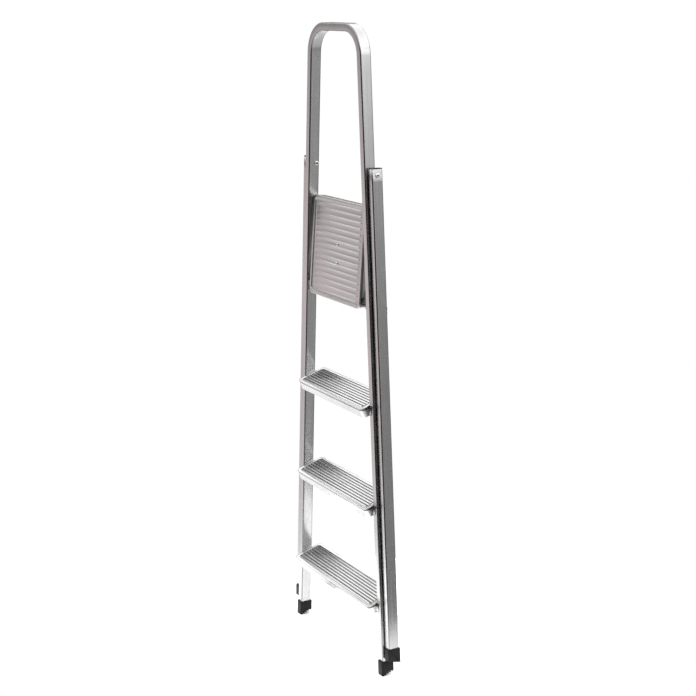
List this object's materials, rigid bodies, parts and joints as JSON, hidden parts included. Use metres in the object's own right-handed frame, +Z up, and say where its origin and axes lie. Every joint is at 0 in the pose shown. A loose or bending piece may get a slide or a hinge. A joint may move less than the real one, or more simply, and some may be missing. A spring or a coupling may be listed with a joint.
{
  "type": "folding household stepladder",
  "caption": "Folding aluminium stepladder with ribbed treads, a fold-down ribbed platform and a hoop handrail, shown folded, with black plastic feet.",
  "frame": {"origin": "on the plane of symmetry, midway along the depth of the folded ladder, level with the lowest edge of the front feet", "axes": "+Z up along the height of the folded ladder, -Y the side the treads face, +X to the right seen from the front"},
  "size_m": [0.517, 0.088, 1.65],
  "materials": {
    "tube_aluminium": "satin extruded tube",
    "tread_aluminium": "bright ribbed pressed sheet",
    "platform_aluminium": "satin ribbed pressed sheet",
    "bracket_aluminium": "plain mill finish",
    "rivet_aluminium": "polished rivet heads",
    "pivot_steel": "bright zinc plated",
    "clip_steel": "zinc plated strip",
    "washer_nylon": "black nylon",
    "foot_plastic": "moulded, fine texture"
  },
  "bodies": {
    "front_frame": {"front_hoop_frame": "tube_aluminium", "tread_lower": "tread_aluminium", "tread_middle": "tread_aluminium", "tread_upper": "tread_aluminium", "tread_rivets": "rivet_aluminium", "front_foot_right": "foot_plastic", "front_foot_left": "foot_plastic", "leg_pivot_rivet_right": "pivot_steel", "leg_pivot_rivet_left": "pivot_steel", "leg_spacer_washer_right": "washer_nylon", "leg_spacer_washer_left": "washer_nylon", "platform_bracket_right": "bracket_aluminium", "platform_bracket_left": "bracket_aluminium", "bracket_rivets": "rivet_aluminium", "platform_pin_right": "pivot_steel", "platform_pin_left": "pivot_steel"},
    "platform": {"platform_tray": "platform_aluminium", "latch_clip": "clip_steel", "latch_clip_rivets": "rivet_aluminium"},
    "rear_frame": {"rear_leg_right": "tube_aluminium", "rear_leg_left": "tube_aluminium", "rear_leg_plug_right": "foot_plastic", "rear_leg_plug_left": "foot_plastic", "rear_lower_brace": "bracket_aluminium", "platform_support_rail": "bracket_aluminium", "lower_brace_rivets": "rivet_aluminium", "support_rail_rivets": "rivet_aluminium", "rear_foot_right": "foot_plastic", "rear_foot_left": "foot_plastic"}
  },
  "joints": [
    {"name": "rear_frame_hinge", "type": "hinge", "parent": "front_frame", "child": "rear_frame", "pos_m": [0, 0.003, 1.291], "axis": [1, 0, 0], "range_deg": [0, 30]},
    {"name": "platform_hinge", "type": "hinge", "parent": "front_frame", "child": "platform", "pos_m": [0, -0.0102, 0.9754], "axis": [-1, 0, 0], "range_deg": [0, 67.8]}
  ]
}
